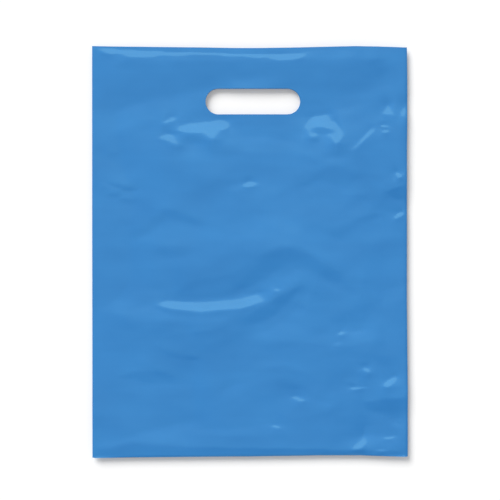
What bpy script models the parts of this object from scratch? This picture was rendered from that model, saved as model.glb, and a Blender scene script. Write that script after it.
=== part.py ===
# Die-cut handle bag of blown polyethylene film, lying on its back.
# One tube of film: folded at the bottom, welded down both sides, open at the mouth, with an
# obround hand slot punched through both walls at once. Metres, +X across the bag, +Y towards
# the mouth, +Z up. The origin is on the table, under the middle of the bag.

import math

import bmesh
import bpy

# The flat bag
BAG_WIDTH = 0.300  # over both side welds
BAG_LENGTH = 0.390  # bottom fold to mouth
FILM = 0.00006  # one wall
WELD_WIDTH = 0.002  # fused strip down each side
WELD_BEAD = 0.0003  # thickness of that strip
FOLD_GAP = 0.0008  # the bottom fold, over both walls

# The hand slot
SLOT_LENGTH = 0.090
SLOT_WIDTH = 0.0245
SLOT_DROP = 0.040  # mouth to the slot's upper edge
SLOT_SHIFT = 0.003  # slot's centre to the right of the bag's

# How it lies, with a little air between the walls
EDGE_LIFT = 0.004  # welds and bottom fold above the table
BELLY_HEIGHT = 0.0075  # upper wall above the table
BELLY_RUN = 0.020  # the upper wall's rise from the bottom fold
LIP_DROP = 0.002  # the upper lip rolls down this much at the mouth
LIP_RUN = 0.014  # over this length
LOWER_LIP_LIFT = 0.0005
REST_WIDTH = 0.180  # flat patch that the bag rests on
REST_FROM_FOLD = 0.045
REST_FROM_MOUTH = 0.135

# The long furrow across the upper wall: three points of its line, left to right
FURROW_LEFT = (-0.078, -0.044)
FURROW_CREST = (0.039, -0.008)
FURROW_RIGHT = (0.110, -0.060)
FURROW_DEPTH = 0.0013
FURROW_WIDTH = 0.009  # from its floor to where it has lost most of its depth
BRANCH_DROP = 0.040  # a shallower one below it, along the same line
BRANCH_DEPTH = 0.0008

# Mesh spacing, halved along the bag where the furrows run
COLUMNS = 36
ROWS = 48
CROWDING = 0.5  # 0 spaces the mesh evenly, 1 crowds it at the edges
ARC_STEPS = 16  # facets of each round end of the slot

FILM_BLUE = (0.053, 0.246, 0.584)  # linear
HALF_WIDTH = BAG_WIDTH / 2
HALF_LENGTH = BAG_LENGTH / 2


def clear_scene():
    for obj in list(bpy.data.objects):
        bpy.data.objects.remove(obj, do_unlink=True)


def ease(share):
    # 0 below 0, 1 above 1, level at both ends
    share = min(max(share, 0.0), 1.0)
    return share * share * (3 - 2 * share)


def spaced(steps, lowest, highest):
    # Places from lowest to highest, closer together at both ends
    middle = (lowest + highest) / 2
    half = (highest - lowest) / 2
    places = []
    for k in range(steps + 1):
        s = 2 * k / steps - 1
        places.append(middle + half * ((1 - CROWDING) * s + CROWDING * math.sin(math.pi / 2 * s)))
    return places


def halved_at_furrows(ys):
    # The rows with one more in the middle of each gap that a furrow crosses
    lowest = min(FURROW_LEFT[1], FURROW_RIGHT[1]) - BRANCH_DROP - 2 * FURROW_WIDTH
    highest = FURROW_CREST[1] + 2 * FURROW_WIDTH
    rows = [ys[0]]
    for below, above in zip(ys, ys[1:]):
        if above > lowest and below < highest:
            rows.append((below + above) / 2)
        rows.append(above)
    return rows


def furrow_depth(x, y):
    # The line of both furrows rises to its crest along half a cosine wave on each side
    left, crest, right = FURROW_LEFT, FURROW_CREST, FURROW_RIGHT
    end = left if x < crest[0] else right
    along = (x - crest[0]) / (end[0] - crest[0])
    line = end[1] + (crest[1] - end[1]) * (1 + math.cos(math.pi * min(along, 1.0))) / 2
    fade = 1 - ease(2 * along - 1)
    furrow = FURROW_DEPTH * math.exp(-(((y - line) / FURROW_WIDTH) ** 2))
    branch = BRANCH_DEPTH * math.exp(-(((y - line + BRANCH_DROP) / FURROW_WIDTH) ** 2))
    return fade * (furrow + branch)


def upper_wall(x, y):
    # Outer height of the upper wall: a shallow pillow, drawn down at the bottom fold and the mouth
    across = 1 - (x / (HALF_WIDTH - WELD_WIDTH)) ** 4
    from_fold = y + HALF_LENGTH
    from_mouth = HALF_LENGTH - y
    start = FOLD_GAP / 2
    rise = 1 - math.exp(-from_fold / BELLY_RUN)
    middle = start + (BELLY_HEIGHT - EDGE_LIFT - start) * rise
    middle -= LIP_DROP * max(0.0, 1 - from_mouth / LIP_RUN) ** 2
    return EDGE_LIFT + WELD_BEAD / 2 + across * (middle - WELD_BEAD / 2 - furrow_depth(x, y))


def lower_wall(x, y):
    # Outer height of the lower wall: flat where it rests, lifted towards the welds and the fold
    rest = REST_WIDTH / 2
    side = ease((abs(x) - rest) / (HALF_WIDTH - WELD_WIDTH - rest))
    fold = 1 - (1 - ease((REST_FROM_FOLD - y - HALF_LENGTH) / REST_FROM_FOLD)) * (1 - side)
    mouth = ease((REST_FROM_MOUTH - HALF_LENGTH + y) / REST_FROM_MOUTH)
    top = EDGE_LIFT - WELD_BEAD / 2 - (FOLD_GAP - WELD_BEAD) / 2 * (1 - side)
    return top * fold + LOWER_LIP_LIFT * mouth * (1 - side)


def film_mesh():
    # Rings of points along Y, an outer and an inner one at each row, joined into walls
    inner_edge = HALF_WIDTH - WELD_WIDTH
    xs = [-HALF_WIDTH] + spaced(COLUMNS, -inner_edge, inner_edge) + [HALF_WIDTH]
    ys = halved_at_furrows(spaced(ROWS, FOLD_GAP / 2 - HALF_LENGTH, HALF_LENGTH))
    last = len(xs) - 1
    bm = bmesh.new()

    def outer_point(side, i, y):
        if i in (0, 1, last - 1, last):
            return bm.verts.new((xs[i], y, EDGE_LIFT + side * WELD_BEAD / 2))
        wall = upper_wall if side > 0 else lower_wall
        return bm.verts.new((xs[i], y, wall(xs[i], y)))

    def inner_point(side, i, y):
        wall = upper_wall if side > 0 else lower_wall
        return bm.verts.new((xs[i], y, wall(xs[i], y) - side * FILM))

    def outer_ring(y):
        top = [outer_point(1, i, y) for i in range(last + 1)]
        bottom = [outer_point(-1, i, y) for i in range(last, -1, -1)]
        return top + bottom

    def inner_ring(y):
        left = bm.verts.new((xs[1], y, EDGE_LIFT))
        right = bm.verts.new((xs[last - 1], y, EDGE_LIFT))
        top = [inner_point(1, i, y) for i in range(2, last - 1)]
        bottom = [inner_point(-1, i, y) for i in range(last - 2, 1, -1)]
        return [left] + top + [right] + bottom

    def join(first, second):
        # Both skins of a wall are split along the same diagonals, so that they never cross
        for k in range(len(first)):
            n = (k + 1) % len(first)
            bm.faces.new((first[k], first[n], second[n]))
            bm.faces.new((first[k], second[n], second[k]))

    outer = [outer_ring(y) for y in ys]
    inner = [inner_ring(y) for y in ys]
    for k in range(len(ys) - 1):
        join(outer[k], outer[k + 1])
        join(inner[k], inner[k + 1])

    # The bottom fold: a crest line outside and one a film's thickness inside it
    ring = outer[0]
    crest = [bm.verts.new((x, -HALF_LENGTH, EDGE_LIFT)) for x in xs]
    for i in range(last):
        bm.faces.new((ring[i + 1], ring[i], crest[i], crest[i + 1]))
        bm.faces.new((ring[-1 - i], ring[-2 - i], crest[i + 1], crest[i]))
    bm.faces.new((ring[0], ring[-1], crest[0]))
    bm.faces.new((ring[last + 1], ring[last], crest[last]))
    ring = inner[0]
    count = last - 3
    crest = [bm.verts.new((x, FILM - HALF_LENGTH, EDGE_LIFT)) for x in xs[2 : last - 1]]
    for i in range(count - 1):
        bm.faces.new((ring[1 + i], ring[2 + i], crest[i + 1], crest[i]))
        bm.faces.new((ring[-2 - i], ring[-1 - i], crest[i], crest[i + 1]))
    bm.faces.new((ring[0], ring[1], crest[0]))
    bm.faces.new((ring[-1], ring[0], crest[0]))
    bm.faces.new((ring[count], ring[count + 1], crest[-1]))
    bm.faces.new((ring[count + 1], ring[count + 2], crest[-1]))

    # The cut edge of the film round the mouth, and the ends of the two welds
    out, within = outer[-1], inner[-1]
    for i in range(count - 1):
        bm.faces.new((out[2 + i], out[3 + i], within[2 + i], within[1 + i]))
        bm.faces.new((out[-4 - i], out[-3 - i], within[-1 - i], within[-2 - i]))
    tip_left, tip_right = within[0], within[count + 1]
    bm.faces.new((out[1], out[2], within[1], tip_left))
    bm.faces.new((out[-3], out[-2], tip_left, within[-1]))
    bm.faces.new((out[-1], out[0], out[1], tip_left, out[-2]))
    bm.faces.new((out[last - 2], out[last - 1], tip_right, within[count]))
    bm.faces.new((out[last + 2], out[last + 3], within[count + 2], tip_right))
    bm.faces.new((out[last], out[last + 1], out[last + 2], tip_right, out[last - 1]))

    bmesh.ops.recalc_face_normals(bm, faces=bm.faces)
    mesh = bpy.data.meshes.new("bag")
    bm.to_mesh(mesh)
    bm.free()
    return mesh


def slot_cutter():
    # The punch: a prism with full round ends, taller than the bag is deep
    radius = SLOT_WIDTH / 2
    reach = SLOT_LENGTH / 2 - radius
    middle_y = HALF_LENGTH - SLOT_DROP - radius
    bm = bmesh.new()
    outline = []
    for end, start in ((1, -math.pi / 2), (-1, math.pi / 2)):
        for k in range(ARC_STEPS + 1):
            angle = start + math.pi * k / ARC_STEPS
            x = SLOT_SHIFT + end * reach + radius * math.cos(angle)
            outline.append(bm.verts.new((x, middle_y + radius * math.sin(angle), -BELLY_HEIGHT)))
    base = bm.faces.new(outline)
    grown = bmesh.ops.extrude_face_region(bm, geom=[base])
    lifted = [v for v in grown["geom"] if isinstance(v, bmesh.types.BMVert)]
    bmesh.ops.translate(bm, verts=lifted, vec=(0, 0, 3 * BELLY_HEIGHT))
    bmesh.ops.recalc_face_normals(bm, faces=bm.faces)
    mesh = bpy.data.meshes.new("slot_punch")
    bm.to_mesh(mesh)
    bm.free()
    cutter = bpy.data.objects.new("slot_punch", mesh)
    bpy.context.collection.objects.link(cutter)
    cutter.hide_render = True
    cutter.display_type = "WIRE"
    return cutter


def film_material():
    # Glossy pigmented polyethylene
    material = bpy.data.materials.new("film")
    material.use_nodes = True
    shader = material.node_tree.nodes["Principled BSDF"]
    shader.inputs["Base Color"].default_value = (*FILM_BLUE, 1)
    shader.inputs["Roughness"].default_value = 0.15
    shader.inputs["Metallic"].default_value = 0.0
    return material


def make_bag():
    mesh = film_mesh()
    mesh.materials.append(film_material())
    bag = bpy.data.objects.new("bag", mesh)
    bpy.context.collection.objects.link(bag)
    mesh.shade_smooth()
    mesh.set_sharp_from_angle(angle=math.radians(40))
    punch = bag.modifiers.new("hand slot", "BOOLEAN")
    punch.operation = "DIFFERENCE"
    punch.solver = "EXACT"
    punch.object = slot_cutter()
    return bag


clear_scene()
make_bag()
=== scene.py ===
# Die-cut handle bag of glossy blue polyethylene film, lying flat on a pale studio floor.
# One skin of film, folded at the bottom, welded at the sides and open at the mouth, with the
# relief that trapped air and the puckers at its welds give it. Metres, the frame of the model.
import math

import bmesh
import bpy
import numpy as np
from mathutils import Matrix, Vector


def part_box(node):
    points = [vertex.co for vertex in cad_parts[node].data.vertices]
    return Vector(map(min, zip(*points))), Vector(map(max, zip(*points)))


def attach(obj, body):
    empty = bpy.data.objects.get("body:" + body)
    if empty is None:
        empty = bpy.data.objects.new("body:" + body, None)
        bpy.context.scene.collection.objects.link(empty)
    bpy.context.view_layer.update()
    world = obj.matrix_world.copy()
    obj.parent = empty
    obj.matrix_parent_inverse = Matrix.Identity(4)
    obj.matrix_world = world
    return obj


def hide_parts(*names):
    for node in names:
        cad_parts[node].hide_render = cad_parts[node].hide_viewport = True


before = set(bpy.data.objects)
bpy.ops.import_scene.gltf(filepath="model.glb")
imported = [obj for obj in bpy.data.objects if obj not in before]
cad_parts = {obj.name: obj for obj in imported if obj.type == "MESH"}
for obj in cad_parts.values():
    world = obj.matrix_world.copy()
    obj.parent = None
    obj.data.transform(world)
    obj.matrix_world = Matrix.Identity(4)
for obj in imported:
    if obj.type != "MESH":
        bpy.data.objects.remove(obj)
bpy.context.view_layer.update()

mm = 0.001

# The photo is 500 x 500 pixels, and this is where the middle of the bag lies in it.
photo = {"size": 500, "middleX": 249.7, "middleY": 251.6, "mmPerPixel": 0.951}


def linear(hexColour):
    # sRGB hex to linear colour
    parts = [int(hexColour[k : k + 2], 16) / 255 for k in (0, 2, 4)]
    return [p / 12.92 if p <= 0.04045 else ((p + 0.055) / 1.055) ** 2.4 for p in parts]


def addNode(tree, kind, inputs=None, **settings):
    # A node with its settings; each input is a number, a colour or the socket that feeds it
    node = tree.nodes.new(kind)
    for name, value in settings.items():
        setattr(node, name, value)
    for name, value in (inputs or {}).items():
        if isinstance(value, bpy.types.NodeSocket):
            tree.links.new(value, node.inputs[name])
        else:
            node.inputs[name].default_value = value
    return node


# The camera: straight above, through a long lens

camera = {"lens": 200, "sensor": 36, "height": 0.005, "clipEnd": 20}


def placeCamera():
    data = bpy.data.cameras.new("photoCamera")
    data.lens = camera["lens"]
    data.sensor_width = camera["sensor"]
    data.clip_end = camera["clipEnd"]
    across = photo["size"] * photo["mmPerPixel"] * mm
    distance = across * camera["lens"] / camera["sensor"]
    obj = bpy.data.objects.new("photoCamera", data)
    scale = photo["mmPerPixel"] * mm
    obj.location = (
        (photo["size"] / 2 - photo["middleX"]) * scale,
        (photo["middleY"] - photo["size"] / 2) * scale,
        camera["height"] + distance,
    )
    bpy.context.collection.objects.link(obj)
    bpy.context.scene.camera = obj
    return distance


cameraDistance = placeCamera()
print("camera at", round(cameraDistance, 3), "m")

# The shape of the bag, as the model has it

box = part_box("bag")
bag = {
    "halfWidth": (box[1][0] - box[0][0]) / 2,
    "halfLength": (box[1][1] - box[0][1]) / 2,
    "film": 0.06 * mm,  # one wall
    "weldWidth": 2 * mm,
    "weldBead": 0.3 * mm,
    "weldLean": 0.06,  # the strip tips down towards +X
    # points of the weld strip: distance in from the edge, share of the bead's half thickness
    "weldStrip": [(1.4 * mm, 0.9), (0.7 * mm, 1.3), (0.15 * mm, 0.9)],
    "foldGap": 0.8 * mm,
    "foldTurns": (40, 90, 140),  # degrees at which the roll of the fold has its lines
    "foldFlat": 0.9,  # the slanting ones lie this share of its radius out
    "sharpAngle": 50,  # degrees; bends under this are shaded smooth
    "edgeLift": 4 * mm,  # welds and fold above the floor
    "belly": box[1][2],
    "bellyRun": 20 * mm,
    "lipDrop": 2 * mm,
    "lipRun": 14 * mm,
    "lowerLipLift": 0.5 * mm,
    "restWidth": 180 * mm,
    "restFromFold": 45 * mm,
    "restFromMouth": 135 * mm,
}

slot = {"length": 90 * mm, "width": 24.5 * mm, "drop": 40 * mm, "shift": 3 * mm, "arcSteps": 40}

# Mesh lines: those of the upper wall gather across its narrow glints. The lower one keeps every
# sixth column beside the welds and every thirtieth where it lies flat.
mesh = {
    "columns": 150,
    "rows": 280,
    "narrowMm": 12,  # a glint this narrow doubles the lines across it
    "mostCrowded": 3.0,
    "alsoNarrow": ("creaseUpper", "creaseLower", "right360"),  # hollows treated as glints are
    "trials": 4000,
    "blendMm": 5,
    "besideWelds": 6,
    "whereFlat": 30,
    "reliefMm": 1.0,  # the even grid on which the relief is worked out
}

# The welded sides rise and fall by these millimetres, at photo rows
weldWaves = {
    "left": [(47, 0.7), (150, 1), (215, 1.4), (310, 0.8), (405, 1.3), (412, 1.4), (430, 0.5), (457, 0.2)],
    "right": [
        (47, 1.5), (79, 2), (92, 1.9), (105, 1), (117, 2.4), (165, 2.4), (184, 2.7), (203, 1.1),
        (211, 1.1), (221, 1.5), (285, 1.8), (303, 2.1), (372, 2.2), (396, 2.4), (416, 0.6),
        (440, 0.6), (457, 0.7),
    ],
    "blendMm": 4,
    "foldLift": 1.7,  # the bottom fold stands this much higher still
    "foldRun": 90,
    "edgeDrop": 0.22,  # the outermost film falls off by this much
    "edgeRun": 2,
}


def ease(share):
    share = np.clip(share, 0, 1)
    return share * share * (3 - 2 * share)


def weldWave(x, y):
    # How far the weld nearest to a point and the fold lift both walls there
    rows = photo["middleY"] - y / mm / photo["mmPerPixel"]
    fromFold = (y + bag["halfLength"]) / mm
    lift = weldWaves["foldLift"] * mm * ease(1 - fromFold / weldWaves["foldRun"])
    for name, end in (("left", -1), ("right", 1)):
        places = np.array(weldWaves[name])
        blend = weldWaves["blendMm"] / photo["mmPerPixel"]
        wave = sum(np.interp(rows + share * blend, *places.T) for share in (-1, -0.5, 0, 0.5, 1)) / 5
        rest = bag["restWidth"] / 2
        lift = lift + wave * mm * ease((end * x - rest) / (bag["halfWidth"] - bag["weldWidth"] - rest))
    inward = (bag["halfWidth"] - abs(x)) / mm
    return lift - weldWaves["edgeDrop"] * mm * ease(1 - inward / weldWaves["edgeRun"])


def upperWall(x, y):
    # Outer height of the upper wall without its relief: a shallow pillow
    start = bag["foldGap"] / 2
    across = 1 - (x / (bag["halfWidth"] - bag["weldWidth"])) ** 4
    rise = 1 - np.exp(-(y + bag["halfLength"]) / bag["bellyRun"])
    middle = start + (bag["belly"] - bag["edgeLift"] - start) * rise
    rolled = np.clip(1 - (bag["halfLength"] - y) / bag["lipRun"], 0, None)
    middle = middle - bag["lipDrop"] * rolled**2
    bead = bag["weldBead"] / 2
    return bag["edgeLift"] + bead + across * (middle - bead) + weldWave(x, y)


def lowerWall(x, y):
    # Outer height of the lower wall: flat where it rests, lifted towards the welds and the fold
    rest = bag["restWidth"] / 2
    side = ease((abs(x) - rest) / (bag["halfWidth"] - bag["weldWidth"] - rest))
    nearFold = ease((bag["restFromFold"] - y - bag["halfLength"]) / bag["restFromFold"])
    fold = 1 - (1 - nearFold) * (1 - side)
    mouth = ease((bag["restFromMouth"] - bag["halfLength"] + y) / bag["restFromMouth"])
    top = bag["edgeLift"] - bag["weldBead"] / 2 - (bag["foldGap"] - bag["weldBead"]) / 2 * (1 - side)
    return top * fold + bag["lowerLipLift"] * mouth * (1 - side) + weldWave(x, y)


# The relief of the upper wall. Each place is an outline in photo pixels, and says how the film
# leans there: the tilt of its normal to the right and towards the mouth, the millimetres over
# which it eases into that lean, and how firmly it holds it against the film around it.

swells = {
    "besideTop": ([(387, 80), (404, 79), (405, 88), (388, 89)], (0, 0.03), 4, 1.5),
    "aboveSlot": ([(232, 80), (250, 77), (270, 78), (272, 88), (232, 89)], (0, 0.07), 3, 4),
    "underSlot": ([
        (222, 138), (250, 136), (300, 141), (322, 141), (322, 153), (300, 155), (255, 154), (222, 150),
    ], (0, 0.07), 5, 2),
    "aboveOval": ([
        (200, 156), (300, 158), (300, 180), (262, 179), (225, 178), (200, 175),
    ], (0, 0.035), 6, 1.8),
    "aroundRing": ([
        (333, 108), (350, 106), (362, 112), (360, 124), (346, 126), (336, 118),
    ], (0, 0.045), 4, 1.5),
    "leftOfRing": ([(298, 106), (316, 105), (324, 108), (314, 114), (300, 116)], (0, 0.045), 3, 1.5),
    "middle": ([
        (230, 190), (300, 170), (330, 210), (345, 262), (280, 240), (235, 248), (190, 268), (170, 230),
    ], (0, 0.058), 18, 1.4),
    "aboveFurrow": ([
        (180, 268), (210, 262), (232, 255), (252, 248), (276, 236), (298, 234), (320, 247), (340, 262),
        (362, 282), (368, 276), (342, 240), (300, 222), (250, 232), (200, 250),
    ], (0, 0.055), 5, 3),
    "middleLeft": ([
        (181, 258), (200, 254), (210, 256), (208, 266), (188, 275), (181, 268),
    ], (0, 0.055), 4, 1.5),
    "left240": ([
        (178, 234), (207, 233), (207, 241), (180, 246), (152, 245), (152, 238),
    ], (0, 0.055), 4, 1.5),
    "left207": ([(185, 201), (205, 202), (207, 212), (192, 210)], (0, 0.04), 4, 1.2),
    "leftOfSlot": ([
        (150, 100), (196, 92), (200, 112), (172, 118), (150, 128), (145, 148), (125, 146), (117, 118),
    ], (0, 0.03), 7, 1),
    "ridge": ([
        (284, 308), (304, 306), (316, 322), (345, 328), (372, 326), (374, 340), (352, 347), (325, 345),
        (300, 342), (270, 340), (272, 325),
    ], (0, 0.05), 6, 2),
    "lowBand": ([
        (195, 428), (225, 428), (262, 424), (285, 420), (287, 432), (262, 437), (225, 437), (195, 434),
    ], (0, 0.04), 4, 1.5),
    "low410": ([
        (283, 394), (292, 392), (304, 396), (318, 400), (331, 404), (328, 414), (305, 418), (284, 420),
    ], (0, 0.04), 4, 2),
    "low432": ([(320, 426), (330, 425), (333, 434), (328, 442), (320, 440)], (0, 0.045), 4, 1.2),
    "low364": ([(254, 360), (280, 360), (281, 367), (256, 368)], (0, 0.045), 4, 1.2),
    "lowLeftStreak": ([
        (220, 396), (228, 387), (236, 383), (245, 384), (242, 394), (232, 402), (222, 403),
    ], (-0.02, 0.05), 4, 1.5),
    "left390": ([(178, 383), (186, 382), (187, 388), (180, 396), (176, 392)], (0, 0.045), 3, 1.5),
    "rightOfRing": ([
        (326, 158), (340, 157), (353, 158), (354, 165), (340, 166), (326, 164),
    ], (0, 0.07), 2.5, 3),
    "besideRing": ([
        (338, 110), (358, 105), (374, 110), (380, 122), (368, 130), (352, 142), (346, 132), (340, 120),
    ], (0, 0.06), 4, 3),
    "right150": ([
        (346, 140), (368, 128), (402, 128), (402, 170), (384, 176), (346, 174),
    ], (0, 0.04), 6, 2),
    "right185": ([(340, 178), (392, 176), (386, 186), (384, 206), (340, 206)], (0, 0.035), 6, 2.5),
    "nearCreases": ([
        (118, 202), (126, 202), (135, 204), (134, 209), (124, 208), (119, 206),
    ], (0, 0.055), 2.5, 3),
    "aboveCreases": ([
        (103, 184), (110, 188), (118, 189), (120, 193), (110, 191), (103, 188),
    ], (0, 0.08), 1.5, 8),
    "rightLow": ([
        (369, 366), (381, 372), (396, 386), (404, 388), (400, 395), (384, 392), (372, 376),
    ], (0, 0.005), 4, 1.5),
    "rightCorner": ([
        (367, 434), (384, 436), (393, 440), (392, 449), (378, 449), (368, 447),
    ], (0, 0.05), 3, 2),
    "right296": ([(382, 290), (407.5, 288), (407.5, 301), (384, 302)], (0, 0.05), 3, 3),
    "betweenFurrows": ([
        (264, 289), (283, 275), (297, 268), (310, 273), (300, 281), (284, 290), (264, 298),
    ], (-0.02, 0.065), 4, 3),
    "ridgeTip": ([
        (296, 272), (304, 272), (316, 279), (314, 286), (304, 286), (298, 280),
    ], (0, 0.03), 3, 5),
    "underCrescent": ([
        (122, 312), (150, 304), (170, 314), (220, 317), (262, 308), (272, 296), (280, 297), (262, 314),
        (240, 321), (205, 323), (160, 321), (126, 322),
    ], (0, 0.07), 4, 3),
}

hollows = {
    "lowerLeft": ([
        (92, 310), (150, 322), (185, 334), (196, 420), (150, 436), (92, 440),
    ], (0.03, -0.065), 12, 2.5),
    "leftStrip": ([
        (93, 95), (112, 100), (132, 212), (132, 282), (112, 305), (93, 310),
    ], (0.02, -0.03), 8, 1.5),
    "rightStrip": ([(386, 320), (407.5, 318), (407.5, 394), (396, 384), (386, 372)], (0, -0.06), 6, 2),
    "underTop": ([
        (122, 60), (205, 59), (245, 60), (245, 75), (230, 78), (229, 86), (205, 86), (160, 98),
        (110, 112), (98, 104), (104, 70),
    ], (0, -0.045), 10, 2),
    "underTopRight": ([
        (245, 60), (300, 62), (395, 62), (403, 78), (330, 100), (300, 90), (274, 88), (272, 76),
        (245, 75),
    ], (0, -0.028), 10, 2),
    "furrow": ([
        (178, 292), (188, 281.5), (196, 278), (212, 276), (228, 273.5), (238, 270), (246, 264),
        (254, 257.5), (266, 251), (276, 247.5), (290, 245.5), (300, 247), (310, 252.5), (332, 267),
        (346, 278), (356, 290), (350, 297), (334, 287), (309, 273.5), (300, 268.5), (290, 266.5),
        (282, 269.5), (258, 285), (246, 292), (225, 297), (200, 299), (182, 297),
    ], (0, -0.062), 3, 6),
    "furrowFloor": ([
        (236, 283), (250, 271), (262, 259), (270, 251.5), (281, 248.5), (294, 248.5), (297, 257),
        (289, 264), (277, 270), (263, 279), (248, 287), (236, 290),
    ], (0, -0.115), 3.5, 8),
    "furrowRight": ([
        (294, 249.5), (304, 252.5), (318, 262), (332, 271.5), (342, 280), (336, 284), (322, 276),
        (308, 267), (296, 260),
    ], (0.03, -0.13), 3, 10),
    "branch": ([
        (310, 284), (300, 281), (288, 286), (276, 293), (262, 301), (246, 308), (230, 316), (222, 327),
        (234, 336), (256, 334), (272, 328), (286, 319), (298, 306), (306, 295),
    ], (0.01, -0.03), 6, 3),
    "branchCore": ([
        (303, 285), (292, 289), (280, 295), (268, 302), (256, 309), (246, 317), (248, 325), (262, 323),
        (276, 315), (287, 304), (297, 294),
    ], (0.02, -0.13), 4.5, 7),
    "besideBranch": ([
        (312, 292), (320, 284), (334, 288), (352, 298), (364, 312), (366, 326), (352, 332), (330, 320),
        (314, 306),
    ], (0.02, -0.065), 5, 3),
    "left345": ([
        (190, 333), (222, 326), (245, 329), (262, 340), (250, 356), (225, 360), (196, 352),
    ], (0, -0.03), 8, 2),
    "rightEdge": ([
        (387.5, 192), (392, 188.6), (398, 187), (407.5, 184), (407.5, 201), (396, 200), (391, 196.5),
    ], (0.02, -0.14), 3, 9),
    "rightLow": ([
        (364, 402), (384, 398), (407.5, 395), (407.5, 420), (394, 420), (384, 414), (366, 411),
    ], (0.02, -0.12), 6, 6),
    "rightLowCore": ([
        (384, 402), (394, 400), (407.5, 398), (407.5, 413), (392, 412),
    ], (0.02, -0.17), 4, 9),
    "right420": ([(361, 416), (385, 415), (385, 426), (363, 427)], (0, -0.04), 5, 2),
    "right360": ([
        (351, 358.8), (358, 358.6), (364, 360.4), (369, 364.5), (362, 362.8), (352, 360.6),
    ], (0, -0.21), 1, 34),
    "right362": ([(376, 356), (407.5, 354), (407.5, 370), (385, 371)], (0.02, -0.09), 4, 4),
    "right384": ([(343, 383), (352, 382.5), (357, 385), (350, 386.5)], (0, -0.10), 2, 6),
    "right390": ([
        (362, 376), (382, 372), (386, 388), (407.5, 384), (407.5, 396), (384, 398), (364, 398),
    ], (0.02, -0.05), 4, 3),
    "lowLeft": ([
        (118, 377), (137, 371), (160, 371), (174, 377), (176, 384), (150, 384), (136, 380),
    ], (0, -0.11), 4, 5),
    "left365": ([(130, 358), (134, 358), (144, 369), (140, 371)], (0, -0.05), 3, 2),
    "left352": ([
        (160, 347), (170, 351), (185, 354.5), (200, 357), (199, 361), (184, 360), (170, 357), (160, 352),
    ], (0, -0.1), 3, 6),
    "left337": ([
        (112, 328), (120, 330), (130, 335), (143, 343), (142, 346), (128, 339), (113, 331),
    ], (0, -0.05), 2, 4),
    "slanting": ([
        (322, 229), (345, 226), (362, 217), (380, 212), (382, 217), (362, 224), (350, 232), (342, 241),
        (332, 238),
    ], (0, -0.07), 4, 4),
    "underRing": ([
        (302, 184), (312, 175), (326, 168), (346, 168), (360, 176), (348, 188), (336, 184), (318, 180),
        (306, 187),
    ], (0, -0.05), 5, 3),
    "right200": ([(342, 196), (366, 193), (370, 199), (350, 205)], (0, -0.045), 5, 2),
    "left220": ([
        (160, 208), (172, 209), (188, 214), (201, 221), (201, 228), (186, 225), (172, 219), (162, 216),
    ], (0, -0.075), 4, 4),
    "left228": ([
        (162, 212), (168, 218), (155, 228), (140, 236), (134, 235), (138, 228), (152, 218),
    ], (0, -0.045), 4, 3),
    "left185": ([
        (106, 182.5), (114, 184), (124, 187), (136, 188), (136, 190.8), (124, 190.5), (114, 188),
    ], (0, -0.1), 1.5, 12),
    "left195": ([(109, 193), (117, 193), (118, 196.5), (110, 196.5)], (0, -0.08), 1.5, 10),
    "left200": ([(121, 198.6), (133, 200.4), (133, 202.6), (123, 202)], (0, -0.1), 1.3, 12),
    "left148": ([(93, 141), (99, 142), (101, 150), (98, 158), (93, 158)], (0.02, -0.1), 2, 6),
    "left155": ([(107, 152), (118, 153), (118, 156.5), (109, 156)], (0, -0.09), 2, 6),
    "left250": ([
        (150, 248), (178, 246), (192, 249), (190, 256), (168, 258), (150, 256),
    ], (0, -0.06), 4, 3),
    "left222": ([(120, 218), (127, 218), (128, 226), (121, 226)], (0, -0.045), 3, 2),
    "right312": ([
        (346, 298), (360, 300), (368, 314), (366, 330), (352, 330), (345, 315),
    ], (0.02, -0.075), 5, 3),
    "middle350": ([
        (290, 345), (320, 350), (372, 352), (384, 360), (350, 368), (300, 362),
    ], (0, -0.04), 8, 2),
    "right352": ([(337, 348), (355, 346), (358, 354), (345, 357), (337, 355)], (0, -0.05), 4, 2),
    "middle382": ([
        (268, 370), (300, 368), (312, 376), (310, 388), (280, 390), (268, 384),
    ], (0, -0.045), 7, 2),
    "underBlotch": ([(182, 134.5), (203, 134), (209, 141), (205, 144), (186, 143)], (0, -0.06), 2.5, 5),
    "underRingLeft": ([(312, 139.5), (318, 139.5), (319, 143), (313, 143)], (0, -0.05), 2, 4),
    "above158": ([(326, 153), (352, 151.5), (353, 155), (326, 156)], (0, -0.05), 2, 4),
    "rightCorner": ([(369, 60), (386, 57), (388, 76), (374, 78), (367, 72)], (0.02, -0.075), 5, 3),
    "right250": ([(385, 240), (405, 236), (406, 286), (390, 287), (384, 262)], (0.03, -0.045), 7, 2),
    "calmLow": ([
        (132, 438), (140, 433), (156, 428), (178, 424), (190, 429), (184, 440), (168, 446), (136, 446),
    ], (0, 0), 5, 2),
    "left420": ([(93, 411), (105, 414), (108, 426), (93, 432)], (0.02, -0.09), 4, 4),
    "creaseUpper": ([
        (119, 184.5), (126, 185.5), (136, 188), (135, 190.5), (124, 189), (119, 187),
    ], (0, -0.07), 1.5, 8),
    "creaseLower": ([(108, 195), (118, 195), (119, 197.5), (109, 197.5)], (0, -0.07), 1.5, 8),
    "creaseEnd": ([(121, 199.5), (131, 199.5), (131, 201.5), (122, 201.5)], (0, -0.07), 1.5, 8),
    "creaseTop": ([(108, 154), (118, 158), (114, 162), (108, 158)], (0, -0.05), 3, 3),
    "ringEye": ([
        (313.5, 128.5), (320, 127), (329, 129), (331, 132), (328, 134), (318, 134.5), (314, 132.5),
    ], (0, -0.03), 1.5, 16),
    "foldRoll": ([
        (92, 446), (110, 447), (132, 441), (155, 444), (172, 446), (250, 448), (330, 450.5), (408, 451),
        (410, 460), (90, 460),
    ], (0, -0.12), 6, 3),
}

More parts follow.
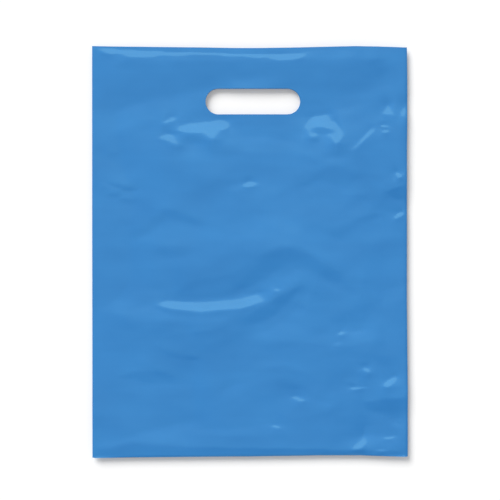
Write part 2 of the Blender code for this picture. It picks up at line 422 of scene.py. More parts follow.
glints = {
    "creaseLit": ([
        (104, 181.5), (110, 184), (121, 189), (120, 192.5), (110, 189.5), (104, 186),
    ], (0, 0.05), 1.5, 5),
    "crescent": ([
        (159, 304), (163, 301.6), (168, 300.6), (180, 301.2), (200, 302.2), (212, 301.2), (230, 299.4),
        (242, 298.2), (250, 295.6), (256, 293.8), (259.5, 292), (260.5, 298), (265, 299.5), (259, 302.5),
        (250, 306.2), (240, 309), (220, 310.2), (212, 311.8), (200, 312.6), (190, 311.4), (178, 309.6),
        (168, 308.6), (163, 307),
    ], (-0.01, 0.175), 1.2, 34),
    "crescentTip": ([(155, 305), (163, 304), (165, 306), (156, 306)], (0, 0.12), 1.2, 15),
    "besideCrescent": ([
        (274.5, 290.6), (276, 288.6), (279, 288.4), (279.4, 290.8), (276, 292),
    ], (0, 0.16), 1.1, 25),
    "blotch": ([
        (177, 130.5), (179, 126), (189, 123.6), (212, 121.8), (216, 119.8), (224, 119.8), (228.2, 122.5),
        (228.8, 126.5), (225, 129.6), (219.5, 129.8), (211.5, 141.4), (204.3, 133), (180, 132),
    ], (-0.01, 0.175), 1.2, 32),
    "blotchTail": ([
        (156.5, 138), (162, 136), (166.5, 133.8), (173, 134.5), (173.5, 138.8), (179, 145.3),
        (173, 143.6), (168, 140.7), (162, 139),
    ], (-0.02, 0.17), 1.2, 32),
    "flake": ([
        (163, 122), (168, 119.3), (170, 117.3), (174, 116.8), (176.4, 118.5), (173, 121.8), (168, 122.8),
        (165, 124.4),
    ], (-0.01, 0.175), 1.2, 32),
    "ringTop": ([
        (306, 128), (307.5, 122), (311, 118.5), (313.5, 116), (323, 116), (324.5, 114), (328, 114),
        (330, 120), (335, 123.5), (339, 127), (341, 131), (333, 131), (328, 128.5), (322, 126.5),
        (316, 126.5), (313, 129),
    ], (-0.01, 0.175), 1.3, 32),
    "ringLeft": ([
        (306, 126), (313, 127), (313, 132), (317.5, 135.5), (312, 138), (309, 135.5), (307.5, 131),
    ], (0, 0.175), 1.3, 36),
    "ringRight": ([
        (331.5, 122.5), (333.5, 120), (339, 127), (341, 131), (342.3, 137.5), (337, 144.3), (335, 143.7),
        (329, 135.5), (332.5, 132.5),
    ], (0, 0.175), 1.3, 36),
    "oval": ([
        (244, 184.5), (249, 181.3), (255, 182), (256.5, 185), (250, 187), (244, 187),
    ], (0, 0.175), 1.3, 30),
    "ovalWing": ([(230, 186), (243, 185), (243, 190), (232, 192)], (0, 0.06), 3, 4),
    "triangle": ([
        (387.2, 104.6), (389, 105.4), (390.6, 110.5), (395, 117), (390, 114.4), (386, 114.6),
        (381.8, 113.6), (384.5, 111),
    ], (-0.01, 0.178), 1.1, 38),
    "hook": ([
        (381.5, 124.8), (385, 125.6), (389.5, 126.2), (389.5, 128), (384.5, 127.6), (381.5, 126.4),
    ], (0, 0.2), 0.9, 40),
    "hookDrop": ([(384.8, 129.6), (387.2, 129.6), (387.2, 133), (384.8, 133)], (0, 0.21), 0.9, 46),
    "diagonal": ([
        (351.5, 150.5), (359, 141.5), (366, 134.5), (372.5, 127), (374.3, 127.5), (372.8, 132),
        (366, 138.5), (356, 148.5),
    ], (-0.05, 0.175), 1.1, 32),
    "edge108": ([
        (401.5, 111), (404, 105.5), (408, 105), (407.5, 111), (404, 117), (401.5, 117),
    ], (0, 0.15), 1.5, 26),
    "edge174": ([
        (396.4, 171.6), (398.4, 171.8), (401.4, 176), (400.8, 178.4), (398.6, 177.4),
    ], (0, 0.215), 0.7, 60),
    "edge175": ([(403.4, 172.8), (408, 172.8), (408, 175.2), (403.4, 175.2)], (0, 0.205), 0.7, 60),
    "edge215": ([
        (394, 217.3), (398, 213), (404, 210.8), (405, 215), (400, 217.3), (396, 219.3),
    ], (0, 0.18), 1.3, 30),
    "spot334": ([
        (339.5, 333.6), (341.1, 331.4), (342.8, 332), (342.3, 334.6), (340.6, 336),
    ], (0, 0.215), 0.8, 50),
    "spot343": ([(335, 343), (339, 341.8), (340, 344.5), (336, 345.5)], (0, 0.11), 1.5, 15),
    "spot369": ([
        (362.5, 367.5), (367.5, 367.5), (369.5, 372), (368, 373), (363.5, 370),
    ], (0, 0.185), 1, 34),
    "blob381": ([
        (384, 387), (384.3, 383), (387.5, 380), (392, 377.6), (395.8, 375.6), (395.4, 380), (393, 383.4),
        (388.5, 387.2),
    ], (-0.01, 0.18), 1.1, 38),
    "thin388": ([
        (349.5, 389), (352, 387.2), (360, 387), (368, 387), (360, 388.8), (354, 390.3),
    ], (0, 0.185), 1, 34),
    "spot398": ([
        (291.5, 397), (296, 396), (300, 398.3), (304, 401.5), (301, 402), (296, 399.5),
    ], (0, 0.18), 1.1, 30),
    "spot426": ([(271, 426.5), (275, 425), (280, 427), (279, 429), (275, 428)], (0, 0.18), 1, 32),
    "slash": ([
        (352.3, 451), (353, 448), (358, 444), (361, 440.5), (362.5, 436), (364, 434.5), (364.8, 439.5),
        (366, 443), (364.3, 446.5), (361, 450), (356, 451.3),
    ], (-0.01, 0.18), 1.2, 34),
    "thin438": ([
        (384.5, 439.2), (385, 437.8), (390, 437.2), (395, 435.5), (394.5, 437.3), (390, 439.2),
    ], (0, 0.19), 1, 36),
    "thin450": ([(376.5, 450), (381, 449.8), (387, 450.5), (382, 452), (377, 451.5)], (0, 0.18), 1, 36),
    "lipLeft": ([
        (95.5, 48), (104, 48.5), (123, 49.5), (141, 50.5), (165, 51.3), (200, 51.6), (216, 51.6),
        (230, 52.6), (250, 53.2), (271, 52.8), (303, 52.4), (302, 57), (293, 59), (277, 59), (270, 57.6),
        (266, 55.4), (258, 57), (252, 56.4), (245, 55.4), (226, 54.8), (212, 53.8), (200, 53.8),
        (185, 54.4), (172, 55.4), (160, 55.2), (151, 57.4), (130, 57.6), (122, 54), (116, 53.4),
        (112, 54.8), (106, 53.6), (100, 50.3),
    ], (-0.01, 0.17), 1.2, 30),
    "lipRight": ([
        (303, 51), (345, 51), (356, 52), (354, 56.5), (340, 57.5), (303, 57),
    ], (0, 0.075), 2.5, 6),
}

ripples = {  # the faint, mostly level waves of film that has been handled
    "seed": 11,
    "count": 60,
    "lengthMm": (10, 55),
    "stretch": (1.2, 4),  # how much longer they are across the bag
    "slope": 0.010,
    "fadeSides": 25,  # millimetres from the welds over which they grow
    "fadeFold": 15,
}

relief = {
    "filmHold": 0.5,  # how firmly open film keeps its own slope
    "spring": 0.0004,  # and its own height
    "stiffness": 1.0,  # spreads a bend over a few millimetres
    "leastLean": -0.035,  # open film between the places leans no more than this
    "mostLean": 0.06,
    "mostSideways": 0.07,
    "slack": 0.01,  # it is pulled back this far inside those limits
    "mostHold": 12,
    "claims": 2,  # places this firm are left out of that
    "passes": 4,
    "rounds": 300,
}


def onBag(outline):
    # Photo pixels to millimetres from the middle of the bag
    scale = photo["mmPerPixel"]
    return [((px - photo["middleX"]) * scale, (photo["middleY"] - py) * scale) for px, py in outline]


def depthInside(x, y, outline):
    # Distance to the outline, positive inside it
    points = np.array(outline, float)
    inside = np.zeros(x.shape, bool)
    near = np.full(x.shape, np.inf)
    for (ax, ay), (bx, by) in zip(points, np.roll(points, -1, 0)):
        ex, ey = bx - ax, by - ay
        along = np.clip(((x - ax) * ex + (y - ay) * ey) / (ex * ex + ey * ey), 0, 1)
        near = np.minimum(near, np.hypot(x - ax - along * ex, y - ay - along * ey))
        if ey:
            inside ^= ((ay > y) != (by > y)) & (x < ex * (y - ay) / ey + ax)
    return np.where(inside, near, -near)


def crowded(low, high, count, axis):
    # Lines from low to high, in millimetres, that gather across the narrow glints
    even = np.linspace(low, high, mesh["trials"])
    need = np.ones(even.size)
    narrow = [*glints.values(), *(hollows[name] for name in mesh["alsoNarrow"])]
    for outline, _, soft, _ in narrow:
        span = np.array(onBag(outline))[:, axis]
        across = (even > span.min() - soft) & (even < span.max() + soft)
        most = min(1 + mesh["narrowMm"] / np.ptp(span), mesh["mostCrowded"])
        need[across] = np.maximum(need[across], most)
    width = int(mesh["blendMm"] / (even[1] - even[0]))
    padded = np.pad(need, width // 2, mode="edge")
    need = np.convolve(padded, np.ones(width) / width, mode="same")[width // 2 : width // 2 + even.size]
    total = np.concatenate([[0], np.cumsum((need[1:] + need[:-1]) / 2)])
    return np.interp(np.linspace(0, total[-1], count + 1), total, even)


def resampled(h, xs, ys, toX, toY):
    # A field on the even grid of xs and ys, read at other lines
    across = np.array([np.interp(toX, xs, line) for line in h])
    return np.array([np.interp(toY, ys, line) for line in across.T]).T


def slopes(h, step):
    return np.diff(h, axis=1) / step[0], np.diff(h, axis=0) / step[1]


def gathered(p, q, step):
    # The transpose of slopes()
    out = np.zeros((p.shape[0], q.shape[1]))
    out[:, 1:] += p / step[0]
    out[:, :-1] -= p / step[0]
    out[1:, :] += q / step[1]
    out[:-1, :] -= q / step[1]
    return out


def bends(h, step):
    # Curvature taken twice, as a stiff film resists it
    def once(field, spread):
        out = np.zeros(h.shape)
        if spread:
            a, b = field[:, 1:-1] / step[0] ** 2, field[1:-1, :] / step[1] ** 2
            out[:, 2:] += a
            out[:, 1:-1] -= 2 * a
            out[:, :-2] += a
            out[2:, :] += b
            out[1:-1, :] -= 2 * b
            out[:-2, :] += b
        else:
            out[:, 1:-1] += (field[:, 2:] - 2 * field[:, 1:-1] + field[:, :-2]) / step[0] ** 2
            out[1:-1, :] += (field[2:, :] - 2 * field[1:-1, :] + field[:-2, :]) / step[1] ** 2
        return out

    return once(once(h, False), True)


def reliefOf(xs, ys):
    # Millimetres by which the upper wall departs from its pillow, on the grid of its mesh
    step = (xs[1] - xs[0], ys[1] - ys[0])
    halfway = ((xs[1:] + xs[:-1]) / 2, (ys[1:] + ys[:-1]) / 2)
    pillow = upperWall(*np.meshgrid(xs * mm, ys * mm)) / mm
    own = slopes(pillow, step)
    grids = (np.meshgrid(halfway[0], ys), np.meshgrid(xs, halfway[1]))
    # what the lens adds: the line of sight leans away from the middle of the picture
    sight = [grids[k][k] / (2 * cameraDistance / mm) for k in (0, 1)]
    aim = [own[k].copy() for k in (0, 1)]
    hold = [np.full(own[k].shape, relief["filmHold"]) for k in (0, 1)]
    claimed = [np.zeros(own[k].shape) for k in (0, 1)]
    for places in (swells, hollows, glints):
        for outline, lean, soft, firm in places.values():
            points = onBag(outline)
            for k in (0, 1):
                window = ease(depthInside(*grids[k], points) / soft + 0.5)
                aim[k] += (sight[k] - lean[k] - aim[k]) * window
                hold[k] += (np.maximum(hold[k], firm) - hold[k]) * window
                if firm >= relief["claims"]:
                    claimed[k] = np.maximum(claimed[k], window)

    free = np.ones(pillow.shape, bool)
    free[:, [0, -1]] = False
    free[0, :] = False
    h = np.zeros(pillow.shape)
    for turn in range(relief["passes"]):

        def pull(field):
            p, q = slopes(field, step)
            force = gathered(hold[0] * p, hold[1] * q, step) + relief["spring"] * field
            return np.where(free, force + relief["stiffness"] * bends(field, step), 0)

        wanted = [hold[k] * (aim[k] - own[k]) for k in (0, 1)]
        goal = np.where(free, gathered(*wanted, step), 0)
        rest = goal - pull(h)
        way = rest.copy()
        size = (rest * rest).sum()
        for _ in range(relief["rounds"]):
            pulled = pull(way)
            share = size / (way * pulled).sum()
            h += share * way
            rest -= share * pulled
            left = (rest * rest).sum()
            way = rest + left / size * way
            size = left
        # open film that leans too far, beside a steep place, is pulled flatter over a wider stretch
        p, q = slopes(pillow + h, step)
        leanX, leanY = sight[0] - p, sight[1] - q
        sideways = relief["mostSideways"]
        for k, over, back in (
            (1, leanY < relief["leastLean"], relief["leastLean"] + relief["slack"]),
            (1, leanY > relief["mostLean"], relief["mostLean"] - relief["slack"]),
            (0, abs(leanX) > sideways, np.sign(leanX) * (sideways - relief["slack"])),
        ):
            over = over & (claimed[k] < 0.5)
            aim[k] = np.where(over, sight[k] - back, aim[k])
            hold[k] = np.where(over, np.minimum(2 * hold[k] + 1, relief["mostHold"]), hold[k])
    return h


def rippleOf(xs, ys):
    # Waves of all the lengths, fading out at the welds and the fold
    draw = np.random.default_rng(ripples["seed"])
    x, y = np.meshgrid(xs, ys)
    h = np.zeros(x.shape)
    for _ in range(ripples["count"]):
        long = draw.uniform(*ripples["lengthMm"])
        wide = long * draw.uniform(*ripples["stretch"]) * draw.choice((-1, 1))
        phase = draw.uniform(0, 2 * math.pi)
        high = ripples["slope"] * long / (2 * math.pi) * math.sqrt(2 / ripples["count"])
        h += high * np.cos(2 * math.pi * (x / wide + y / long) + phase)
    sides = ease((xs[-1] - abs(x)) / ripples["fadeSides"])
    return h * sides * ease((y - ys[0]) / ripples["fadeFold"])


# The skin of film

# Millimetres by which the mouth and the fold wander at photo columns, and the welds at photo rows
waves = {
    "mouth": [
        (92, 0.5), (110, 0.1), (160, -0.5), (200, -0.9), (235, -1.5), (260, -1.5), (300, -0.9),
        (335, -0.1), (355, 0.3), (380, -0.1), (408, -0.9),
    ],
    "fold": [
        (92, -1.4), (125, -0.8), (170, -0.4), (215, 0), (250, 0.2), (275, 0.6), (305, 1.0), (320, 1.3),
        (360, 1.3), (400, 0), (408, -0.1),
    ],
    "left": [(47, 0.1), (240, 0.2), (400, 0.4), (457, 0.5)],
    "right": [
        (47, -0.5), (90, -0.1), (120, -0.2), (150, -0.5), (240, -0.5), (300, -0.6), (360, 0), (390, 0.3),
        (457, 0.3),
    ],
    "reach": 60,  # millimetres from an edge within which the film follows it
}


def wander(x, y):
    # The points near an edge follow its wave
    columns = x / mm / photo["mmPerPixel"] + photo["middleX"]
    rows = photo["middleY"] - y / mm / photo["mmPerPixel"]
    shifts = [0 * x, 0 * x]
    for name, axis, edge in (
        ("left", 0, -bag["halfWidth"]),
        ("right", 0, bag["halfWidth"]),
        ("mouth", 1, bag["halfLength"]),
        ("fold", 1, -bag["halfLength"]),
    ):
        wave = np.interp((rows, columns)[axis], *np.array(waves[name]).T)
        away = abs(edge - (x, y)[axis]) / mm / waves["reach"]
        shifts[axis] = shifts[axis] + wave * mm * (1 - ease(away))
    return x + shifts[0], y + shifts[1]


def coarseMarks(fine):
    # Which of the upper wall's columns the lower wall has too
    last = len(fine) - 1
    marks = [0]
    for k in range(1, last):
        each = mesh["whereFlat"] if abs(fine[k]) < bag["restWidth"] / 2 else mesh["besideWelds"]
        if k % each == 0:
            marks.append(k)
    return marks + [last]


def filmSkin():
    # The closed skin of the film: rings of points round the tube, outer and inner at each row
    inner = bag["halfWidth"] - bag["weldWidth"]
    roll = bag["foldGap"] / 2
    fine = crowded(-inner / mm, inner / mm, mesh["columns"], 0)
    rows = crowded((-bag["halfLength"] + roll) / mm, bag["halfLength"] / mm, mesh["rows"], 1)
    even = []
    for line in (fine, rows):
        count = round(np.ptp(line) / mesh["reliefMm"]) + 1
        even.append(np.linspace(line[0], line[-1], count))
    lifted = (resampled(reliefOf(*even), *even, fine, rows) + rippleOf(fine, rows)) * mm
    fine, rows = fine * mm, rows * mm
    marks = coarseMarks(fine)
    coarse = fine[marks]
    strip = bag["weldStrip"]
    tilt = -bag["weldLean"]
    points, faces = [], []

    def addRow(x, y, z):
        first = len(points)
        points.extend(zip(*wander(x, y + 0 * x), z))
        return list(range(first, len(points)))

    def weldZ(x, y, side, share):
        lean = tilt * (abs(x) - inner) * (1 if x > 0 else -1)
        return bag["edgeLift"] + weldWave(x, y) + lean + side * share * bag["weldBead"] / 2

    def stripRow(end, side, y):
        # from the wall outwards
        x = np.array([end * (bag["halfWidth"] - away) for away, _ in strip])
        z = np.array([weldZ(px, y, side, share) for px, (_, share) in zip(x, strip)])
        return addRow(x, y, z)

    outerUp, outerLow, innerUp, innerLow, tips, cores = [], [], [], [], [], []
    for k, y in enumerate(rows):
        up = upperWall(fine, y) + lifted[k]
        low = lowerWall(coarse, y)
        left, right = stripRow(-1, 1, y), stripRow(1, 1, y)
        outerUp.append(left[::-1] + addRow(fine, y, up) + right)
        left, right = stripRow(-1, -1, y), stripRow(1, -1, y)
        outerLow.append(left[::-1] + addRow(coarse, y, low) + right)
        sides = np.array([-bag["halfWidth"], bag["halfWidth"]])
        tips.append(addRow(sides, y, np.array([weldZ(x, y, 0, 0) for x in sides])))
        innerUp.append(addRow(fine[1:-1], y, up[1:-1] - bag["film"]))
        innerLow.append(addRow(coarse[1:-1], y, low[1:-1] + bag["film"]))
        cores.append(addRow(fine[[0, -1]], y, bag["edgeLift"] + weldWave(fine[[0, -1]], y)))

    def sheet(lines, up):
        # Quads between neighbouring rows, split along the same diagonal on both sides of a wall
        for a, b in zip(lines, lines[1:]):
            for k in range(len(a) - 1):
                quad = (a[k], a[k + 1], b[k + 1], b[k])
                faces.append(quad if up else (quad[0], quad[3], quad[2], quad[1]))

    sheet([[t[0]] + row + [t[1]] for t, row in zip(tips, outerUp)], True)
    sheet([[t[0]] + row + [t[1]] for t, row in zip(tips, outerLow)], False)
    sheet([[c[0]] + row + [c[1]] for c, row in zip(cores, innerUp)], False)
    sheet([[c[0]] + row + [c[1]] for c, row in zip(cores, innerLow)], True)

    def seam(fineLine, coarseLine):
        # A line of the upper wall to one of the lower: each face has a coarse step and its fine ones
        for k in range(len(coarseLine) - 1):
            upper = fineLine[marks[k] : marks[k + 1] + 1]
            faces.append(tuple([coarseLine[k], coarseLine[k + 1]] + upper[::-1]))

    # the bottom fold: a rounded roll of film outside, a plain crease inside
    def rollRow(x, turn, radius):
        y = -bag["halfLength"] + roll - radius * math.sin(turn)
        return addRow(x, y, bag["edgeLift"] + weldWave(x, y) + radius * math.cos(turn))

    flat = fine[1:-1]
    edge = len(strip)
    turns = [math.radians(turn) for turn in bag["foldTurns"]]
    shoulder = rollRow(fine, turns[0], roll * bag["foldFlat"])
    crest = rollRow(fine, turns[1], roll)
    heel = rollRow(coarse, turns[2], roll * bag["foldFlat"])
    wallUp, wallLow = outerUp[0][edge:-edge], outerLow[0][edge:-edge]
    sheet([crest, shoulder, wallUp], True)
    sheet([heel, wallLow], False)
    seam(crest, heel)
    # the bottom ends of both strips close flat
    upper, lower = outerUp[0], outerLow[0]
    left, right = ([line[k] for line in (wallUp, shoulder, crest, heel, wallLow)] for k in (0, -1))
    face = [tips[0][0]] + upper[:edge] + left + lower[:edge][::-1]
    faces.append(tuple(face[::-1]))
    faces.append(tuple([tips[0][1]] + upper[-edge:][::-1] + right + lower[-edge:]))
    # inside crease
    line = addRow(flat, -bag["halfLength"] + bag["film"], bag["edgeLift"] + weldWave(flat, rows[0]))
    a, b = cores[0]
    sheet([line, innerUp[0]], False)
    faces.append((a, innerUp[0][0], line[0]))
    faces.append((b, line[-1], innerUp[0][-1]))
    inLow = innerLow[0]
    faces.append(tuple([a] + line[: marks[1]] + [inLow[0]]))
    faces.append(tuple([b, inLow[-1]] + line[marks[-2] - 1 :]))
    for k in range(len(inLow) - 1):
        faces.append(tuple([inLow[k]] + line[marks[k + 1] - 1 : marks[k + 2]] + [inLow[k + 1]]))

    # the cut edge of the mouth
    out, within, core = outerUp[-1], innerUp[-1], cores[-1]
    up = out[edge:-edge]
    for k in range(len(within) - 1):
        faces.append((up[k + 1], up[k + 2], within[k + 1], within[k]))
    faces.append((up[0], up[1], within[0], core[0]))
    faces.append((up[-2], up[-1], core[1], within[-1]))
    under, within = outerLow[-1], innerLow[-1]
    low = under[edge:-edge]
    for k in range(len(within) - 1):
        faces.append((low[k + 2], low[k + 1], within[k], within[k + 1]))
    faces.append((low[1], low[0], core[0], within[0]))
    faces.append((low[-1], low[-2], within[-1], core[1]))
    face = [core[0], low[0]] + under[:edge][::-1] + [tips[-1][0]] + out[:edge] + [up[0]]
    faces.append(tuple(face))
    face = [core[1], up[-1]] + out[-edge:] + [tips[-1][1]] + under[-edge:][::-1] + [low[-1]]
    faces.append(tuple(face))
    return points, faces


def slotPunch():
    # The same obround punch as the model's, with finer arcs
    radius = slot["width"] / 2
    reach = slot["length"] / 2 - radius
    middleY = bag["halfLength"] - slot["drop"] - radius
    outline = []
    for end, start in ((1, -math.pi / 2), (-1, math.pi / 2)):
        for k in range(slot["arcSteps"] + 1):
            turn = start + math.pi * k / slot["arcSteps"]
            x = slot["shift"] + end * reach + radius * math.cos(turn)
            outline.append((x, middleY + radius * math.sin(turn)))
    count = len(outline)
    points = [(x, y, z) for z in (-bag["belly"], 2 * bag["belly"]) for x, y in outline]
    faces = [tuple(range(count))[::-1], tuple(range(count, 2 * count))]
    faces += [(k, (k + 1) % count, (k + 1) % count + count, k + count) for k in range(count)]
    data = bpy.data.meshes.new("slotPunch")
    data.from_pydata(points, [], faces)
    obj = bpy.data.objects.new("slotPunch", data)
    bpy.context.collection.objects.link(obj)
    return obj


# The film's material. Polyethylene (LDPE) film, blown as a tube and coloured in the melt: an
# even, opaque blue with a wet gloss, faint bands of thickness along the web, which runs across
# the bag, and a fine haze.
pigmentedFilm = {
    "paler": "3885CB",
    "deeper": "337EC4",
    "ior": 1.51,
    "roughness": 0.1,
    "sheenTint": (0.53, 1.0, 0.85, 1.0),
    "bandMm": 18,  # gauge bands of a blown film
    "bandDetail": 3,
    "bandStretch": 10,  # how much longer they are across the bag
    "cloudMm": 40,
    "cloudDetail": 4,
    "mixed": (0.35, 0.65),  # between these the two blues pass into each other
    "haze": 0.03,
}


def filmMaterial():
    material = bpy.data.materials.new("pigmentedFilm")
    material.use_nodes = True
    tree = material.node_tree
    shader = tree.nodes["Principled BSDF"]
    place = addNode(tree, "ShaderNodeTexCoord").outputs["Object"]
    bandScale = 1 / (pigmentedFilm["bandMm"] * mm)
    cloudScale = 1 / (pigmentedFilm["cloudMm"] * mm)
    along = (1 / pigmentedFilm["bandStretch"], 1, 1)
    banded = addNode(tree, "ShaderNodeMapping", {"Vector": place, "Scale": along}).outputs["Vector"]
    bands = addNode(
        tree,
        "ShaderNodeTexNoise",
        {"Vector": banded, "Scale": bandScale, "Detail": pigmentedFilm["bandDetail"]},
    ).outputs["Fac"]
    clouds = addNode(
        tree,
        "ShaderNodeTexNoise",
        {"Vector": place, "Scale": cloudScale, "Detail": pigmentedFilm["cloudDetail"]},
    ).outputs["Fac"]
    both = addNode(tree, "ShaderNodeMath", {0: bands, 1: clouds}, operation="ADD").outputs[0]
    mean = addNode(tree, "ShaderNodeMath", {0: both, 1: 0.5}, operation="MULTIPLY").outputs[0]
    ramp = addNode(tree, "ShaderNodeValToRGB", {"Fac": mean})
    for stop, share, blue in zip(ramp.color_ramp.elements, pigmentedFilm["mixed"], ("deeper", "paler")):
        stop.position = share
        stop.color = (*linear(pigmentedFilm[blue]), 1)
    tree.links.new(ramp.outputs["Color"], shader.inputs["Base Color"])
    haze = addNode(
        tree,
        "ShaderNodeMapRange",
        {
            "Value": clouds,
            "To Min": pigmentedFilm["roughness"] - pigmentedFilm["haze"],
            "To Max": pigmentedFilm["roughness"] + pigmentedFilm["haze"],
        },
    ).outputs["Result"]
    tree.links.new(haze, shader.inputs["Roughness"])
    shader.inputs["IOR"].default_value = pigmentedFilm["ior"]
    shader.inputs["Specular Tint"].default_value = pigmentedFilm["sheenTint"]
    return material


def makeBag():
    points, faces = filmSkin()
    data = bpy.data.meshes.new("filmBag")
    data.from_pydata(points, [], faces)
    data.materials.append(filmMaterial())
    obj = bpy.data.objects.new("filmBag", data)
    bpy.context.collection.objects.link(obj)
    check = bmesh.new()
    check.from_mesh(data)
    faulty = sum(not (e.is_manifold and e.is_contiguous) for e in check.edges)
    volume = round(check.calc_volume() * 1e6, 2)
    print("skin:", len(points), "points,", faulty, "open or turned edges,", volume, "cm3 of film")
    check.free()
    punch = slotPunch()
    cut = obj.modifiers.new("handSlot", "BOOLEAN")
    cut.operation = "DIFFERENCE"
    cut.solver = "EXACT"
    cut.object = punch
    graph = bpy.context.evaluated_depsgraph_get()
    finished = bpy.data.meshes.new_from_object(obj.evaluated_get(graph))
    obj.modifiers.clear()
    obj.data = finished
    bpy.data.objects.remove(punch, do_unlink=True)
    finished.shade_smooth()
    finished.set_sharp_from_angle(angle=math.radians(bag["sharpAngle"]))
    return obj


filmBag = makeBag()
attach(filmBag, "root")
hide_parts("bag")
print("bag:", sum(len(p.vertices) - 2 for p in filmBag.data.polygons), "triangles")

# Floor and light

studio = {
    "floor": "F4F4F4",
    "floorRoughness": 0.9,
    "floorSize": 12,
    "floorLift": 0.145,  # only for the camera, so that the floor is white and keeps the shadow
    "ambient": 0.43,
    "key": 0.57,  # share of the light that the key gives on a level surface
    "keyZenith": 51,
    "keyAzimuth": 122,  # from +X, so from the upper left of the picture
    "keySpread": 40,
    "softboxLean": (-0.02, 0.19),  # tilt of film that mirrors the middle of the softbox
    "softboxHalf": (0.13, 0.075),
    "softboxEdge": 0.02,
    "softboxGlow": 2.95,
    "ceilingEnds": (-0.25, 0.15),  # leans towards the mouth between which it changes
    # what it shows to film of each lean
    "ceiling": [
        (-0.25, 0.12), (-0.2, 0.16), (-0.12, 0.32), (-0.07, 0.62), (-0.04, 0.82), (0, 0.94), (0.04, 1.1),
        (0.08, 1.4), (0.115, 1.8),
    ],
    "leftward": 0.5,  # how much brighter it is to the left
    "sideways": 2.5,  # and how much it falls off to both sides
    "ceilingEdge": 0.86,  # height of the direction where the ceiling meets the walls
    "ceilingBlend": 0.08,
    "ceilingLeast": 0.05,
    "levelSight": 0.25,  # directions lower than this count as this high
    "wall": 0.62,
    "wallRise": 0.35,
    "cardHeight": (0.42, 0.14, 0.12),
    "cardWidth": (0, 0.5, 0.3),
    "cardGlow": 1.5,
}


def whiteFloor():
    # A studio floor in matt white paint
    half = studio["floorSize"] / 2
    data = bpy.data.meshes.new("floor")
    corners = [(-half, -half, 0), (half, -half, 0), (half, half, 0), (-half, half, 0)]
    data.from_pydata(corners, [], [(0, 1, 2, 3)])
    material = bpy.data.materials.new("paintedFloor")
    material.use_nodes = True
    tree = material.node_tree
    shader = tree.nodes["Principled BSDF"]
    shader.inputs["Base Color"].default_value = (*linear(studio["floor"]), 1)
    shader.inputs["Roughness"].default_value = studio["floorRoughness"]
    shader.inputs["Specular IOR Level"].default_value = 0
    seen = addNode(tree, "ShaderNodeLightPath").outputs["Is Camera Ray"]
    lifted = {0: seen, 1: studio["floorLift"]}
    lift = addNode(tree, "ShaderNodeMath", lifted, operation="MULTIPLY").outputs[0]
    shader.inputs["Emission Color"].default_value = (1, 1, 1, 1)
    tree.links.new(lift, shader.inputs["Emission Strength"])
    data.materials.append(material)
    obj = bpy.data.objects.new("floor", data)
    bpy.context.collection.objects.link(obj)


def keyLight():
    zenith, azimuth = math.radians(studio["keyZenith"]), math.radians(studio["keyAzimuth"])
    data = bpy.data.lights.new("keyLight", "SUN")
    data.energy = studio["key"] * math.pi / math.cos(zenith)
    data.angle = math.radians(studio["keySpread"])
    obj = bpy.data.objects.new("keyLight", data)
    obj.rotation_euler = (0, zenith, azimuth)
    obj.visible_glossy = False
    bpy.context.collection.objects.link(obj)


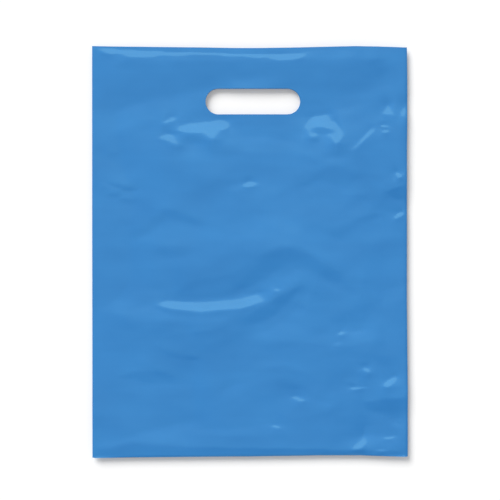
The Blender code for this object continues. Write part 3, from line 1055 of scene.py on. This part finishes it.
def studioWorld():
    # White to the camera, an even sky for diffuse light, and a studio with a softbox in reflections
    world = bpy.data.worlds.new("studio")
    bpy.context.scene.world = world
    world.use_nodes = True
    tree = world.node_tree
    tree.nodes.clear()
    direction = addNode(tree, "ShaderNodeTexCoord").outputs["Generated"]
    axes = addNode(tree, "ShaderNodeSeparateXYZ", {"Vector": direction}).outputs

    def worked(operation, *values):
        inputs = {k: value for k, value in enumerate(values)}
        return addNode(tree, "ShaderNodeMath", inputs, operation=operation).outputs[0]

    def window(value, middle, half, edge):
        # 1 within half of the middle, 0 outside it, with a soft edge
        away = worked("ABSOLUTE", worked("SUBTRACT", value, middle))
        ends = {"Value": away, "From Min": half + edge / 2, "From Max": half - edge / 2}
        return addNode(tree, "ShaderNodeMapRange", ends, interpolation_type="SMOOTHSTEP").outputs[0]

    # the lean of film that would mirror this direction to a camera straight above
    twice = worked("MULTIPLY", worked("MAXIMUM", axes["Z"], studio["levelSight"]), 2.0)
    leans = [worked("DIVIDE", axes[n], twice) for n in "XY"]
    # overhead the ceiling brightens towards the softbox
    low, high = studio["ceilingEnds"]
    spread = {"Value": leans[1], "From Min": low, "From Max": high}
    along = addNode(tree, "ShaderNodeMapRange", spread).outputs["Result"]
    curve = addNode(tree, "ShaderNodeValToRGB", {"Fac": along})
    stops = curve.color_ramp.elements
    # a ramp's colours end at 1, so its levels are halved here and doubled behind it
    while len(stops) < len(studio["ceiling"]):
        stops.new(0.5)
    for stop, (place, level) in zip(stops, studio["ceiling"]):
        stop.position = (place - low) / (high - low)
        stop.color = (level / 2, level / 2, level / 2, 1)
    ceiling = worked("MULTIPLY", curve.outputs["Color"], 2.0)
    ceiling = worked("MULTIPLY_ADD", leans[0], -studio["leftward"], ceiling)
    ceiling = worked("MULTIPLY_ADD", worked("ABSOLUTE", leans[0]), -studio["sideways"], ceiling)
    ceiling = worked("MAXIMUM", ceiling, studio["ceilingLeast"])
    # lower down the walls are pale, with a broad card on the far and on the near side
    wall = worked("MULTIPLY_ADD", axes["Z"], studio["wallRise"], studio["wall"])
    cards = [window(axes["Z"], *studio["cardHeight"]), window(axes["X"], *studio["cardWidth"])]
    cards = worked("MULTIPLY", *cards)
    wall = worked("MULTIPLY_ADD", cards, studio["cardGlow"] - studio["wall"], wall)
    overhead = window(axes["Z"], 1.0, 1 - studio["ceilingEdge"], studio["ceilingBlend"])
    room = addNode(tree, "ShaderNodeMix", {0: overhead, 2: wall, 3: ceiling}).outputs[0]
    places = zip(leans, studio["softboxLean"], studio["softboxHalf"])
    softbox = [window(lean, middle, half, studio["softboxEdge"]) for lean, middle, half in places]
    softbox = worked("MULTIPLY", *softbox)
    mirrored = addNode(tree, "ShaderNodeMix", {0: softbox, 2: room, 3: studio["softboxGlow"]}).outputs[0]
    ray = addNode(tree, "ShaderNodeLightPath").outputs
    parts = {0: ray["Is Glossy Ray"], 2: studio["ambient"], 3: mirrored}
    lit = addNode(tree, "ShaderNodeMix", parts).outputs[0]
    shown = addNode(tree, "ShaderNodeMix", {0: ray["Is Camera Ray"], 2: lit, 3: 1.0}).outputs[0]
    sky = addNode(tree, "ShaderNodeBackground", {"Color": (1, 1, 1, 1), "Strength": shown}).outputs[0]
    addNode(tree, "ShaderNodeOutputWorld", {"Surface": sky})


whiteFloor()
keyLight()
studioWorld()
bpy.context.scene.view_settings.view_transform = "Standard"
print("studio set")
